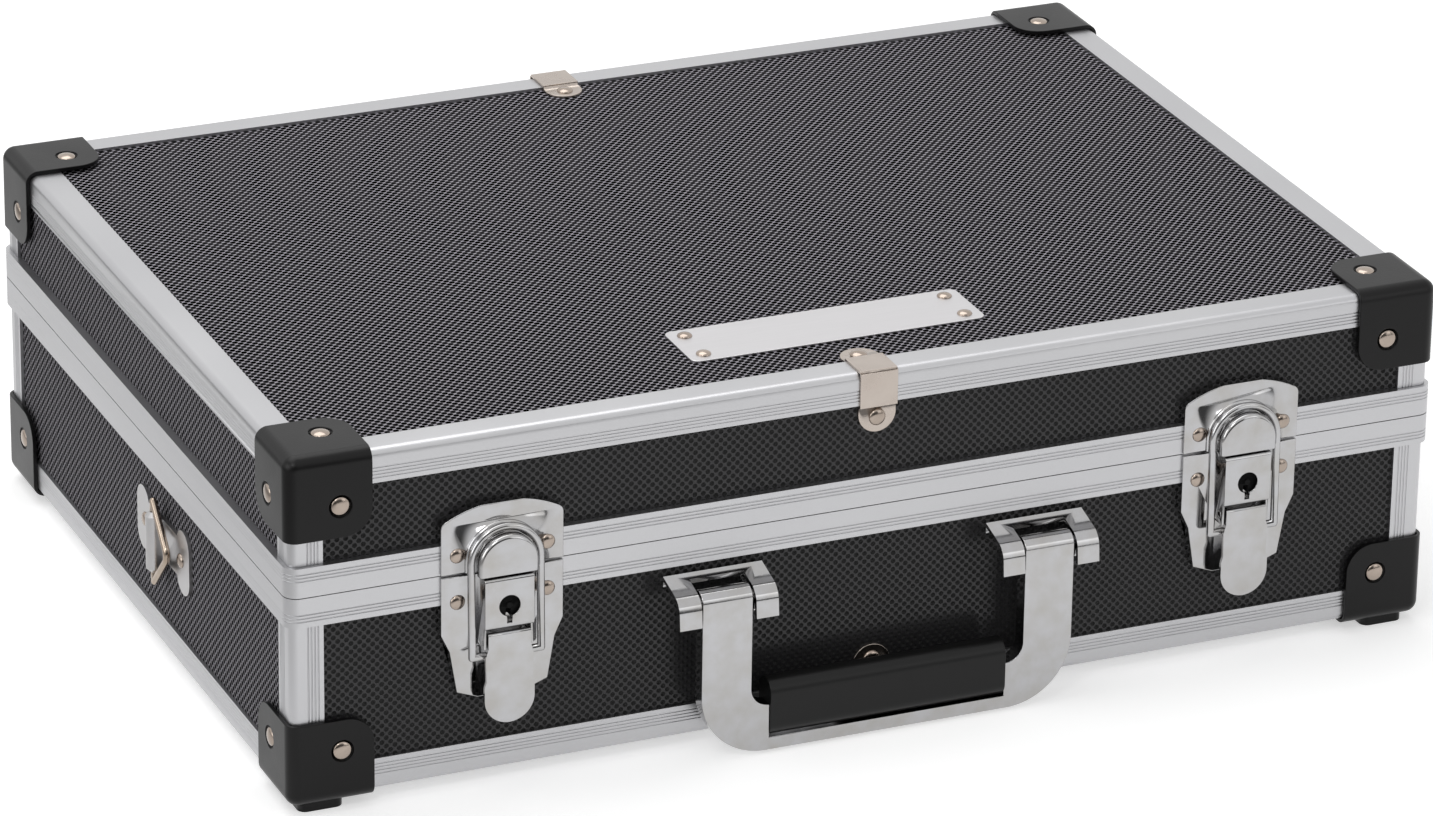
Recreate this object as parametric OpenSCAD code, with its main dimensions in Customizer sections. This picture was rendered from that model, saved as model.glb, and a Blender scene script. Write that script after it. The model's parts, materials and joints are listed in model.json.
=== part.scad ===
// Hard tool case: an aluminium-framed carrying case with a hinged lid.
// Panels of skinned board sit in slotted edge extrusions; moulded protectors,
// sheet clips, two key-locking draw latches and a swing handle are riveted on.
//
// Model axes: X across the case, Y from front (-) to rear (+), Z up from the
// ground. Most modules are drawn in "case coordinates": x and y start at the
// left and front faces of the edge extrusions, z at their underside.

/* [Case] */
// Width over the edge extrusions
case_w = 425; // [380:1:480]
// Depth over the edge extrusions, front to rear
case_d = 302; // [260:1:340]
// Height of the base, from the extrusions' underside to the parting line
base_h = 76.2; // [70:0.1:110]
// Height of the lid, from the parting line to its top
lid_h = 48.8; // [44:0.1:80]
// Thickness of the skinned board panels
panel_t = 4; // [3:0.1:5]

/* [Edge extrusions] */
// Width of each outer leg of an edge extrusion
edge_leg = 11.8; // [10:0.1:15]
// Wall of the extrusions
edge_wall = 1.3; // [1:0.1:1.8]
// Radius of the outer edge
edge_r = 3; // [2:0.1:4]
// How deep a panel enters its slot
slot_depth = 6; // [4:0.1:7]
// Depth of the fine grooves along the extrusions
groove_depth = 0.3; // [0.1:0.05:0.5]
// Spacing of the fine grooves
groove_pitch = 1.2; // [1:0.1:1.6]
// Number of grooves on a leg
groove_count = 4; // [2:1:5]

/* [Rims] */
// How far the rims stand proud of the extrusions
rim_proud = 1.6; // [0.8:0.1:2]
// Height of the base rim and of the lid rim
rim_h = 10.7; // [9:0.1:13]
// Gap between the closed rims
rim_gap = 0.3; // [0.2:0.05:0.6]
// Corner radius of the rims
rim_r = 5; // [4:0.5:8]
// Height of the sealing tongue on the base rim
tongue_h = 2.4; // [1.5:0.1:3]
// Thickness of the sealing tongue
tongue_t = 1.4; // [1:0.1:2]

/* [Corner protectors] */
// Length of a protector along each edge
protector_len = 29; // [24:0.5:34]
// Wall of a protector outside the extrusions
protector_t = 1.6; // [1.2:0.1:2.2]
// Radius of the protector's free corners
protector_r = 10; // [6:0.5:13]
// Height of the foot under each base protector
foot_h = 3.4; // [2:0.1:6]
// Side of the square foot
foot_w = 16; // [12:0.5:18]

/* [Rivets] */
// Diameter of the large rivet heads on protectors and clips
rivet_d = 6.8; // [5:0.1:8]
// Diameter of the small rivet heads on plates and brackets
small_rivet_d = 5.4; // [4:0.1:5.6]
// Height of the domed heads
rivet_h = 1.2; // [0.8:0.1:1.4]

/* [Sheet clips and plate] */
// Width of the clips folded over the long edges
clip_w = 14; // [10:0.5:18]
// Length of each clip leg from the edge to its round end
clip_leg = 22.5; // [21:0.5:28]
// Sheet thickness of the clips
clip_t = 0.9; // [0.6:0.1:1.2]
// Length of the blank plate on the lid
plate_l = 110; // [80:1:140]
// Width of the blank plate
plate_w = 27.5; // [20:0.5:40]
// Thickness of the blank plate
plate_t = 0.8; // [0.5:0.1:1.5]
// Distance of the plate's middle from the front face
plate_y = 45; // [40:1:80]

/* [Latches] */
// Distance of each latch's middle from the nearer side of the case
latch_inset = 74.5; // [62:0.5:100]
// Width of the latch plates
latch_w = 44; // [40:0.5:48]
// Sheet thickness of the latch plates
latch_t = 1.2; // [0.8:0.1:1.5]
// Radius of the wire bail's arch, at the middle of the wire
bail_r = 12.45; // [12.2:0.05:13.2]
// Diameter of the bail wire
bail_d = 2.7; // [2.2:0.1:2.8]
// Width of the lock housing
housing_w = 17.8; // [17:0.1:18.4]
// Depth of the lock housing in front of its plate
housing_d = 7; // [6.5:0.1:8]
// Width of the lever's rounded tongue
tongue_w = 18; // [16:0.5:20]
// Diameter of the keyhole
keyhole_d = 7.5; // [6:0.1:8]

/* [Handle] */
// Width over the handle's two arms
handle_w = 139; // [132:0.5:160]
// Width of each arm
arm_w = 18.4; // [16:0.1:19]
// Clearance of the hanging handle above the ground
handle_clear = 1.5; // [1:0.1:6]
// Outer corner radius of the handle
handle_r = 24; // [18:0.5:26]
// Sheet thickness of the handle frame
handle_t = 1.6; // [1.2:0.1:2]
// Height of the moulded grip
grip_h = 21; // [17:0.5:24]
// Width of each handle bracket
bracket_w = 36.4; // [34:0.1:40]
// Diameter of the handle's pivot pins
handle_pin_d = 4; // [3:0.1:4.4]

/* [Strap brackets] */
// Distance of the strap brackets from the front face
strap_y = 130.5; // [110:0.5:190]
// Distance between a strap bracket's rivets
strap_pitch = 37.4; // [36:0.2:50]
// Wire diameter of the strap ring
ring_d = 2.6; // [2:0.1:3]
// Straight side of the three-sided strap ring
ring_side = 30.6; // [29:0.2:34]

/* [Hinges] */
// Distance of each rear hinge's middle from the nearer side of the case
hinge_inset = 87.5; // [60:0.5:120]
// Width of a hinge
hinge_w = 42; // [30:1:60]
// Diameter of the hinge pins
hinge_pin_d = 3; // [2.5:0.1:3.4]

/* [Inside] */
// Thickness of the foam pad in the base
pad_t = 4; // [2:0.5:8]
// Thickness of the slotted dividers
divider_t = 3; // [2:0.1:4]
// Height of the dividers
divider_h = 50; // [30:1:54]
// Distance of the long divider from the front face
divider_y = 190; // [60:1:240]
// Distance of the first cross divider from the left face
cross_x_left = 144.5; // [60:0.5:200]
// Distance of the second cross divider from the left face
cross_x_right = 289; // [220:0.5:360]
// Thickness of the foam in the lid
lid_foam_t = 22; // [12:1:26]

/* [Hidden] */
$fn = 48;
fit = 0.05;                 // seat clearance between pieces of one body
running = 0.3;              // clearance between pieces that move
axle_fit = 0.06;            // radial clearance of a pin in its bore
eps = 0.01;

parting_z = base_h;                       // parting line between base and lid
case_h = base_h + lid_h;
panel_in = edge_wall + fit;               // panel face behind the extrusion face
edge_in = edge_wall * 2 + panel_t + fit * 2;  // inner face of an extrusion
foot_z = foot_h + protector_t;            // ground to the extrusions' underside
base_top = parting_z - rim_gap / 2;
lid_bottom = parting_z + rim_gap / 2;
rim_slot = 6;                             // panel depth in a rim
rim_cap = rim_h - rim_slot;               // solid part of a rim
rim_in = edge_in + 0.4;                   // inner face of the rims

latch_x = case_w / 2 - latch_inset;       // latches, from the middle of the case
plate_y0 = -rim_proud - latch_t;          // front of a latch plate
arch_z = parting_z + 4.1;                 // centre of the bail's arch
boss_r = bail_r - bail_d / 2 - 0.4;       // the hook boss inside the bail
bail_y = plate_y0 - 1.1 - running - 0.1 - bail_d / 2;  // wire's place at the hook
housing_y = plate_y0 - housing_d;         // front of the lock housing
housing_z0 = parting_z - 19.2;            // lower edge of the housing front
pivot_y = housing_y + 3.6;                // lever pivot
pivot_z = parting_z - 23;
pivot_d = 2.4;
pin_dy = -0.5;                            // bail pin, from the lever pivot
pin_dz = -6.6;
lever_w = housing_w - 2 * (0.95 + running);
lever_y = housing_y + 0.2;                // front of the lever
lever_reach = 31.2;                       // from the lever's pivot to its tip
tip_z = pivot_z - lever_reach;            // lowest point of the lever

arm_x = handle_w / 2 - arm_w / 2;         // middle of each arm
hpin_y = -9.2;                            // handle pivot, case coordinates
hpin_z = parting_z - 22;
barrel_r = 4.6;                           // rolled end of an arm
handle_y = hpin_y - barrel_r;             // front of the handle
handle_z0 = handle_clear - foot_z;        // lower edge of the handle
handle_drop = hpin_z - handle_z0;         // from the pivot to the lower edge
rail_h = 4.6;                             // rail below the grip
shelf_h = 12.6;                           // from the rail to the arms' bends
arm_corner = 6.8;                         // bend from an arm to the grip
grip_w = handle_w - 2 * (arm_w + arm_corner);  // length of the grip
grip_d = 10.6;                            // depth of the grip
grip_r = 5;                               // its rounded edges
window_w = arm_w + 1.6;                   // opening between a bracket's ears

hinge_x = case_w / 2 - hinge_inset;       // hinges, from the middle of the case
knuckle_r = hinge_pin_d / 2 + 1.5;
hinge_y = case_d + rim_proud + knuckle_r + 0.15;   // hinge pin
hinge_z = parting_z;
leaf_t = 1.4;
leaf_gap = 5.2;                           // from a leaf to the edge extrusion
leaf_reach = lid_h - edge_leg - leaf_gap; // leaves, from the pin
leaf_rows = [leaf_reach - 11, leaf_reach - 4];  // rivets of a leaf

strap_z = parting_z - 34.2;               // middle height of the strap brackets
strap_t = 1.3;
lobe_w = 13;
lobe_h = 24;
lobe_out = 2.3;                           // lobes, beyond their rivets
ring_x = -3.3;                            // strap ring pivot, from the side face
tunnel_d = ring_d + 2 * axle_fit + 3.2;   // outside of the roll around the ring
tunnel_l = 23;
ring_reach = 10;                          // from the pivot to the ring's bend
ring_bend = 3.5;
ring_span = sqrt(pow(ring_reach, 2) + pow(ring_side / 2, 2));
ring_leg = sqrt(pow(ring_span, 2) - pow(ring_bend, 2));  // its two slanting sides
ring_slope = atan2(ring_side / 2, ring_reach) - asin(ring_bend / ring_span);

front_reach = 15.4;                       // handle bracket in front of the case
rear_reach = hinge_y + knuckle_r - case_d;
y_shift = -case_d / 2 + (front_reach - rear_reach) / 2;

alu = "#c9cacd";
chrome = "#dfe1e4";
nickel = "#cfc6bf";
skin = "#35343a";
mould = "#3b3a3e";
lining = "#1d1d1f";

SIDES = [-1, 1];

// ---- frames and small shapes ------------------------------------------------

// Case coordinates
module in_case() {
    translate([-case_w / 2, y_shift, foot_z]) children();
}

// The four corners of the case: each child is drawn for the front left one
module at_corner(i) {
    right = i % 2;
    rear = i >= 2 ? 1 : 0;
    translate([right * case_w, rear * case_d, 0])
        mirror([right, 0, 0]) mirror([0, rear, 0]) children();
}

// The lid's own corners: z runs down from the top of the case
module upside_down() {
    translate([0, 0, case_h]) mirror([0, 0, 1]) children();
}

// Rectangle with round corners, from its lower left corner
module round_rect(w, h, r) {
    translate([r, 0]) square([w - 2 * r, h]);
    translate([0, r]) square([w, h - 2 * r]);
    for (x = [r, w - r], y = [r, h - r]) translate([x, y]) circle(r);
}

// Upright drawing turned to stand in front of the case: x across, y up
module facing_front(y) {
    translate([0, y, 0]) rotate([90, 0, 0]) children();
}

// Cylinder along X
module rod_x(d, x0, x1, y, z) {
    translate([x0, y, z]) rotate([0, 90, 0]) cylinder(d = d, h = x1 - x0);
}

// Domed rivet: head from z = 0 up, shank below
module rivet(d, shank) {
    dome_r = (pow(d / 2, 2) + pow(rivet_h - 0.3, 2)) / (2 * (rivet_h - 0.3));
    intersection() {
        translate([0, 0, rivet_h - dome_r]) sphere(dome_r, $fn = 64);
        cylinder(d = d, h = rivet_h);
    }
    if (shank > 0) translate([0, 0, -shank]) cylinder(d = d * 0.45, h = shank + eps);
}

module rivet_front(x, y, z, d, shank) {
    translate([x, y, z]) rotate([90, 0, 0]) rivet(d, shank);
}

module rivet_rear(x, y, z, d, shank) {
    translate([x, y, z]) rotate([-90, 0, 0]) rivet(d, shank);
}

// ---- panels -----------------------------------------------------------------

module board(x0, y0, z0, x1, y1, z1) {
    color(skin) in_case() translate([x0, y0, z0]) cube([x1 - x0, y1 - y0, z1 - z0]);
}

slot_floor = edge_leg - slot_depth;

// Front (rear = 0) or rear (rear = 1) wall between two heights
module long_wall(rear, z0, z1) {
    y = rear == 0 ? panel_in : case_d - panel_in - panel_t;
    board(slot_floor + fit, y, z0, case_w - slot_floor - fit, y + panel_t, z1);
}

module short_wall(right, z0, z1) {
    x = right == 0 ? panel_in : case_w - panel_in - panel_t;
    board(x, slot_floor + fit, z0, x + panel_t, case_d - slot_floor - fit, z1);
}

module level_panel(z0) {
    board(slot_floor + fit, slot_floor + fit, z0,
          case_w - slot_floor - fit, case_d - slot_floor - fit, z0 + panel_t);
}

base_wall_top = base_top - rim_cap - fit;
lid_wall_bottom = lid_bottom + rim_cap + fit;
lid_wall_top = case_h - slot_floor - fit;

// ---- edge extrusions --------------------------------------------------------

// Section of an extrusion: legs along +x and +y from the outer corner, with a
// slot in each leg for a panel and fine grooves outside
module edge_section() {
    difference() {
        union() {
            translate([edge_r, 0]) square([edge_leg - edge_r, edge_in]);
            translate([0, edge_r]) square([edge_in, edge_leg - edge_r]);
            translate([edge_r, edge_r]) circle(edge_r);
        }
        translate([slot_floor, edge_wall])
            square([slot_depth + eps, panel_t + 2 * fit]);
        translate([edge_wall, slot_floor])
            square([panel_t + 2 * fit, slot_depth + eps]);
        for (k = [0:groove_count - 1]) {
            at = edge_leg - 2.2 - k * groove_pitch;
            translate([at, -eps]) square([0.5, groove_depth]);
            translate([-eps, at]) square([groove_depth, 0.5]);
        }
    }
}

// Length of extrusion along +X from x = 0, mitred at both ends
module mitred_edge(len) {
    intersection() {
        rotate([90, 0, 90]) linear_extrude(len) edge_section();
        linear_extrude(edge_leg)
            intersection() {
                round_rect(len, edge_leg * 3, edge_r);
                polygon([[0, 0], [len, 0], [len - edge_leg, edge_leg],
                         [edge_leg, edge_leg]]);
            }
    }
}

// Edge along the front or rear (far = 0 or 1)
module long_edge(far) {
    translate([0, far * case_d, 0]) mirror([0, far, 0]) mitred_edge(case_w);
}

// Edge along the left or right side (far = 0 or 1)
module short_edge(far) {
    translate([far * case_w, 0, 0]) mirror([far, 0, 0]) mirror([1, -1, 0])
        mitred_edge(case_d);
}

module base_edge() {
    color(alu) in_case() children();
}

module lid_edge() {
    color(alu) in_case() upside_down() children();
}

// Upright corner extrusions between the mitred edges and the rim
module posts(z0, z1) {
    color(alu) in_case() for (i = [0:3]) at_corner(i)
        translate([0, 0, z0]) linear_extrude(z1 - z0) edge_section();
}

module lid_posts() {
    posts(lid_bottom + rim_h + fit, case_h - edge_leg - fit);
}

// ---- rims -------------------------------------------------------------------

// Flat ring between two insets from the outer face of the rims
module rim_ring(inset0, inset1) {
    difference() {
        rim_outline(inset0);
        rim_outline(inset1);
    }
}

module rim_outline(inset) {
    d = inset - rim_proud;
    translate([d, d])
        round_rect(case_w - 2 * d, case_d - 2 * d, max(rim_r - inset, 0.6));
}

// Rim of the base: z = 0 at its top face, tongue above, panels from below
module rim_body() {
    difference() {
        translate([0, 0, -rim_h]) linear_extrude(rim_h) rim_ring(0, rim_proud + rim_in);
        translate([0, 0, -rim_h - eps]) linear_extrude(rim_slot + eps)
            rim_ring(rim_proud + edge_wall, rim_proud + edge_wall + panel_t + 2 * fit);
        for (k = [0:2]) translate([0, 0, -rim_h + 2 + k * groove_pitch])
            linear_extrude(0.5) rim_ring(-1, groove_depth);
    }
}

tongue_in = rim_proud + 2.2;              // tongue, from the rim's outer face
groove_in = tongue_in - 0.5;              // groove in the lid rim
groove_w = tongue_t + 1.7;

module base_rim() {
    color(alu) in_case() translate([0, 0, base_top]) {
        rim_body();
        translate([0, 0, -eps]) linear_extrude(tongue_h)
            rim_ring(tongue_in, tongue_in + tongue_t);
    }
}

module lid_rim() {
    color(alu) in_case() translate([0, 0, lid_bottom]) difference() {
        mirror([0, 0, 1]) rim_body();
        translate([0, 0, -eps]) linear_extrude(tongue_h + 0.8)
            rim_ring(groove_in, groove_in + groove_w);
    }
}

// ---- corner protectors ------------------------------------------------------

// Corner of a solid block with its three edges and its corner rounded
module round_octant(size, r) {
    translate([0, r, r]) cube([size, size - r, size - r]);
    translate([r, 0, r]) cube([size - r, size, size - r]);
    translate([r, r, 0]) cube([size - r, size - r, size]);
    translate([r, r, r]) {
        sphere(r);
        cylinder(r = r, h = size - r);
        rotate([-90, 0, 0]) cylinder(r = r, h = size - r);
        rotate([0, 90, 0]) cylinder(r = r, h = size - r);
    }
}

// One face of a protector, its inner free corner rounded
module protector_face() {
    side = protector_len + protector_t;
    square([side - protector_r, side]);
    square([side, side - protector_r]);
    translate([side - protector_r, side - protector_r]) circle(protector_r);
}

protector_rivet = 17.6;                   // rivets, from the case's faces
rivet_dish = 0.7;                         // depth of the dished seats

module protector(foot) {
    t = protector_t;
    depth = t + edge_wall;
    difference() {
        translate([-t, -t, -t]) intersection() {
            round_octant(protector_len + t, edge_r + t);
            union() {
                linear_extrude(depth) protector_face();
                rotate([90, 0, 0]) mirror([0, 0, 1]) linear_extrude(depth)
                    protector_face();
                rotate([0, -90, 0]) mirror([0, 0, 1]) linear_extrude(depth)
                    protector_face();
            }
        }
        // the mitred corner inside is less round than the protector
        translate([-fit, -fit, -fit]) round_octant(protector_len * 2, edge_r - 1);
        for (f = [foot ? 1 : 0:2]) protector_place(f) {
            translate([0, 0, -t - eps]) cylinder(d = rivet_d + 1.2, h = rivet_dish + eps);
            translate([0, 0, -t - 1]) cylinder(d = rivet_d * 0.45 + 0.3, h = t + 2);
        }
    }
    if (foot) {
        translate([3.4, 2.2, -t - foot_h]) linear_extrude(foot_h + eps)
            round_rect(foot_w, foot_w, 3);
    }
}

// Rivet places of a protector: 0 under, 1 in front, 2 at the side; z runs inward
module protector_place(f) {
    p = protector_rivet;
    if (f == 0) translate([p, p, 0]) children();
    if (f == 1) translate([p, 0, p]) rotate([-90, 0, 0]) children();
    if (f == 2) translate([0, p, p]) rotate([0, 90, 0]) children();
}

module base_protector(i) {
    color(mould) in_case() at_corner(i) protector(true);
}

module lid_protector(i) {
    color(mould) in_case() upside_down() at_corner(i) protector(false);
}

module protector_rivets(foot) {
    for (f = [foot ? 1 : 0:2]) protector_place(f)
        translate([0, 0, rivet_dish - protector_t - fit]) mirror([0, 0, 1])
            rivet(rivet_d, protector_t - rivet_dish + edge_wall);
}

// ---- sheet clips ------------------------------------------------------------

clip_rivet = clip_leg - clip_w / 2 + 1.5; // rivets, from the edge
clip_rivet_d = rivet_d * 0.9;

// One leg of a clip in side view: over the extrusion, then set down on the panel
module clip_leg_side() {
    translate([0, -clip_t]) square([edge_leg + fit + clip_t, clip_t]);
    translate([edge_leg + fit, -clip_t])
        square([clip_t, clip_t + panel_in]);
    translate([edge_leg + fit, panel_in - clip_t])
        square([clip_leg - edge_leg - fit, clip_t]);
}

module clip_leg_solid() {
    intersection() {
        rotate([90, 0, 90]) translate([0, 0, -clip_w / 2]) linear_extrude(clip_w)
            clip_leg_side();
        translate([0, 0, -5]) linear_extrude(10) {
            translate([-clip_w / 2, -5]) square([clip_w, clip_leg + 5 - clip_w / 2]);
            translate([0, clip_leg - clip_w / 2]) circle(d = clip_w);
        }
    }
}

// Clip over the edge y = 0, z = 0 of the case, seen as the lower front edge
module clip() {
    clip_leg_solid();
    mirror([0, 1, -1]) clip_leg_solid();
}

module clip_rivets() {
    translate([0, clip_rivet, panel_in - clip_t]) mirror([0, 0, 1])
        rivet(clip_rivet_d, 0);
    translate([0, panel_in - clip_t, clip_rivet]) rotate([90, 0, 0])
        rivet(clip_rivet_d, 0);
}

module for_long_edges() {
    for (rear = [0, 1]) translate([case_w / 2, rear * case_d, 0])
        mirror([0, rear, 0]) children();
}

module base_clips() {
    color(nickel) in_case() for_long_edges() clip();
}

module lid_clips() {
    color(nickel) in_case() upside_down() for_long_edges() clip();
}

// ---- latches ----------------------------------------------------------------

// Places a latch drawn about x = 0
module at_latch(side) {
    in_case() translate([case_w / 2 + side * latch_x, 0, 0]) children();
}

catch_z0 = parting_z + 0.3;
catch_arc = 43.3;                         // radius of the catch plate's arched top
catch_top = parting_z + 24.8;
catch_r = 3;                              // rounded corners beside the arch
catch_mid = catch_top - catch_arc;        // centre of the arch
corner_x = latch_w / 2 - catch_r;
corner_z = sqrt(pow(catch_arc - catch_r, 2) - pow(corner_x, 2));

module catch_outline(inset) {
    translate([-latch_w / 2 + inset, catch_z0 - 1])
        square([latch_w - 2 * inset, catch_mid + corner_z - catch_z0 + 1]);
    for (s = SIDES) translate([s * corner_x, catch_mid + corner_z])
        circle(catch_r - inset);
    translate([0, catch_mid]) intersection() {
        circle(catch_arc - inset, $fn = 96);
        polygon([[0, 0], 1.2 * [corner_x, corner_z], 1.2 * [-corner_x, corner_z]]);
    }
}

// Side of the hook boss: radius from the arch's centre, height over the plate
function boss_side() = concat(
    [[0, -eps], [bail_r + 1.2, -eps], [bail_r + 1.2, 0.5], [bail_r + 0.6, 1.1],
     [boss_r - 0.4, 1.1], [boss_r - 0.4, 3.6], [boss_r, 4.0]],
    [for (a = [0:15:90]) [boss_r - 1.6 + 1.6 * cos(a), 5.4 + 1.6 * sin(a)]],
    [[0, 7]]);

module latch_catch(side) {
    color(chrome) at_latch(side) {
        intersection() {
            union() {
                facing_front(plate_y0 + latch_t) linear_extrude(latch_t)
                    catch_outline(0);
                // edge turned back to the panel above the rim
                facing_front(panel_in - fit) intersection() {
                    linear_extrude(panel_in - fit - plate_y0) difference() {
                        catch_outline(0);
                        catch_outline(latch_t);
                    }
                    translate([-latch_w, lid_bottom + rim_h + fit, -eps])
                        cube([latch_w * 2, 40, 10]);
                }
            }
            translate([-latch_w, -20, catch_z0]) cube([latch_w * 2, 40, 40]);
        }
        facing_front(plate_y0) translate([0, arch_z, 0]) {
            rotate_extrude(angle = 180) polygon(boss_side());
            rotate([90, 0, 0]) linear_extrude(arch_z - catch_z0)
                for (m = [0, 1]) mirror([m, 0, 0]) polygon(boss_side());
        }
    }
}

// Outline of the lower latch plate
module latch_plate_outline(inset) {
    w = latch_w / 2 - inset;
    polygon([for (m = [-1, 1], q = m < 0 ? [0:1:4] : [4:-1:0])
        let (x = [w, w, w - 3, w - 5.6, 9], z = [0.5, 21.7, 28.2, 43.6, 46.4 - inset])
        [m * x[q], parting_z - z[q]]]);
}

module housing_side() {
    h = parting_z - 0.5 - housing_z0;
    intersection() {
        translate([housing_y, housing_z0]) round_rect(housing_d + 3, h, 1.3);
        translate([housing_y, housing_z0]) square([housing_d + eps, h]);
    }
}

keyhole_z = parting_z - 11;
barrel_pin_r = 1.5;                       // lock barrel's rear journal

module latch_plate(side) {
    inner_w = housing_w - 1.9;
    color(chrome) at_latch(side) {
        difference() {
            union() {
                facing_front(plate_y0 + latch_t) linear_extrude(latch_t)
                    latch_plate_outline(0);
                facing_front(panel_in - fit) intersection() {
                    linear_extrude(panel_in - fit - plate_y0) difference() {
                        latch_plate_outline(0);
                        latch_plate_outline(latch_t);
                    }
                    translate([-latch_w, 0, -eps])
                        cube([latch_w * 2, base_top - rim_h - fit, 10]);
                }
            }
            translate([0, plate_y0 + 5, keyhole_z]) rotate([90, 0, 0])
                cylinder(r = barrel_pin_r + axle_fit, h = 10);
        }
        difference() {
            union() {
                rotate([90, 0, 90]) translate([0, 0, -housing_w / 2])
                    linear_extrude(housing_w) housing_side();
                translate([-housing_w / 2, pivot_y - 2.4, pivot_z - 3.7])
                    cube([housing_w, plate_y0 - pivot_y + 2.4 + eps, 10]);
            }
            translate([-inner_w / 2, housing_y + 1.3, pivot_z - 5])
                cube([inner_w, housing_d - 1.3 + 2 * eps, 26.3]);
            translate([-inner_w / 2, housing_y - 1, pivot_z - 5])
                cube([inner_w, 3, housing_z0 - pivot_z + 5]);
            rod_x(pivot_d + 0.04, -20, 20, pivot_y, pivot_z);
            translate([0, housing_y + 2, keyhole_z]) rotate([90, 0, 0])
                cylinder(d = keyhole_d, h = 5);
            translate([-0.95, housing_y - 1, keyhole_z - 6.4]) cube([1.9, 3, 6.4]);
        }
    }
}

module lock_barrel(side) {
    front = housing_y + 1.3 + running;
    color(chrome) at_latch(side) difference() {
        union() {
            translate([0, plate_y0 - running, keyhole_z]) rotate([90, 0, 0])
                cylinder(d = 10, h = plate_y0 - running - front);
            translate([0, plate_y0 + latch_t - running, keyhole_z]) rotate([90, 0, 0])
                cylinder(r = barrel_pin_r, h = latch_t);
            translate([0, front + eps, keyhole_z]) rotate([90, 0, 0])
                cylinder(d = 2.2, h = 1.2);
        }
        translate([-0.9, front - eps, keyhole_z - 6]) cube([1.8, 3.6, 4.4]);
    }
}

lever_top = 1.4;                          // rolled upper edge, above the pivot

// Lever from the front: narrow between the housing's cheeks, then shouldered
module lever_outline() {
    w = lever_w / 2;
    t = tongue_w / 2;
    x = [w, w, t - 0.4, t - 0.7, t, t];
    z = [pivot_z + lever_top, pivot_z - 3.2, pivot_z - 6.4, pivot_z - 15.2,
         pivot_z - 17.4, tip_z + t];
    polygon([for (m = [-1, 1], q = m < 0 ? [0:1:5] : [5:-1:0]) [m * x[q], z[q]]]);
    translate([0, tip_z + t]) circle(t, $fn = 64);
}

module latch_lever(side) {
    color(chrome) at_latch(side) {
        facing_front(lever_y + latch_t) linear_extrude(latch_t) lever_outline();
        rod_x(1.8, -lever_w / 2, lever_w / 2, lever_y + 0.9, pivot_z + lever_top);
        for (s = SIDES) difference() {
            translate([s * (lever_w / 2 - 0.45) - 0.45, lever_y + 0.6, pivot_z - 8.9])
                cube([0.9, 4.4, 10.6]);
            rod_x(pivot_d + 2 * axle_fit, -20, 20, pivot_y, pivot_z);
            rod_x(bail_d + 2 * axle_fit, -20, 20, pivot_y + pin_dy, pivot_z + pin_dz);
        }
    }
}

bail_len = arch_z + bail_r - pivot_z - pin_dz;    // pin to the arch's top
bail_tilt = atan2(bail_y - pivot_y - pin_dy, bail_len);

module latch_bail(side) {
    color(chrome) at_latch(side)
        translate([0, pivot_y + pin_dy, pivot_z + pin_dz]) rotate([-bail_tilt, 0, 0]) {
            translate([0, 0, bail_len - bail_r]) rotate([90, 0, 0])
                rotate_extrude(angle = 180) translate([bail_r, 0]) circle(d = bail_d);
            for (s = SIDES) {
                translate([s * bail_r, 0, 0]) {
                    cylinder(d = bail_d, h = bail_len - bail_r + eps);
                    sphere(d = bail_d);
                }
                rod_x(bail_d, min(s * bail_r, s * (lever_w / 2 - 1.6)),
                      max(s * bail_r, s * (lever_w / 2 - 1.6)), 0, 0);
            }
        }
}

latch_rivet = latch_w / 2 - 5.8;          // rivets, from the latch's middle

module latch_rivets(dz) {
    for (s = SIDES, m = SIDES)
        rivet_front(case_w / 2 + s * latch_x + m * latch_rivet, plate_y0,
                    parting_z + dz, small_rivet_d, 0);
}

// ---- handle -----------------------------------------------------------------

module at_arm(side) {
    in_case() translate([case_w / 2 + side * arm_x, 0, 0]) children();
}

bracket_top = hpin_z + 7.4;
bracket_foot = 1.4;
bracket_h = 4.1;                          // flange against the panel
ear_end = -14;                            // free end, from the bracket's top

// Ear of a bracket in side view, y from the case and z from the bracket's top:
// out from the case, then bent down over the pivot
module ear_side() {
    bend = [-8.56, -9.08];
    polygon(concat(
        [[0.4, 0]],
        [for (a = [105:10:175]) bend + 6.4 * [cos(a), sin(a)]],
        [[-front_reach, ear_end], [-front_reach + 1.5, ear_end]],
        [for (a = [175:-10:105]) bend + 4.9 * [cos(a), sin(a)]],
        [[0.4, -1.65]]));
}

module cheek_side() {
    polygon([[0.4, -0.8], [-12, -4.3], [-13.6, -8], [-12.4, -12], [-8, -13],
             [0.4, ear_end]]);
}

module side_slab(x0, x1) {
    translate([x0, 0, bracket_top]) rotate([90, 0, 90]) linear_extrude(x1 - x0)
        children();
}

module handle_bracket(side) {
    plate_front = panel_in - fit - bracket_foot;
    color(chrome) at_arm(side) difference() {
        union() {
            translate([-bracket_w / 2, plate_front, bracket_top - bracket_h])
                cube([bracket_w, bracket_foot, bracket_h]);
            for (m = [0, 1]) mirror([m, 0, 0]) {
                side_slab(window_w / 2, bracket_w / 2) ear_side();
                side_slab(window_w / 2, window_w / 2 + 1.3) cheek_side();
            }
            side_slab(-window_w / 2 - 1, window_w / 2 + 1) intersection() {
                ear_side();
                translate([-3.2, -6]) square([4, 7]);
            }
        }
        rod_x(handle_pin_d + 0.04, -30, 30, hpin_y, hpin_z);
    }
}

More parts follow.
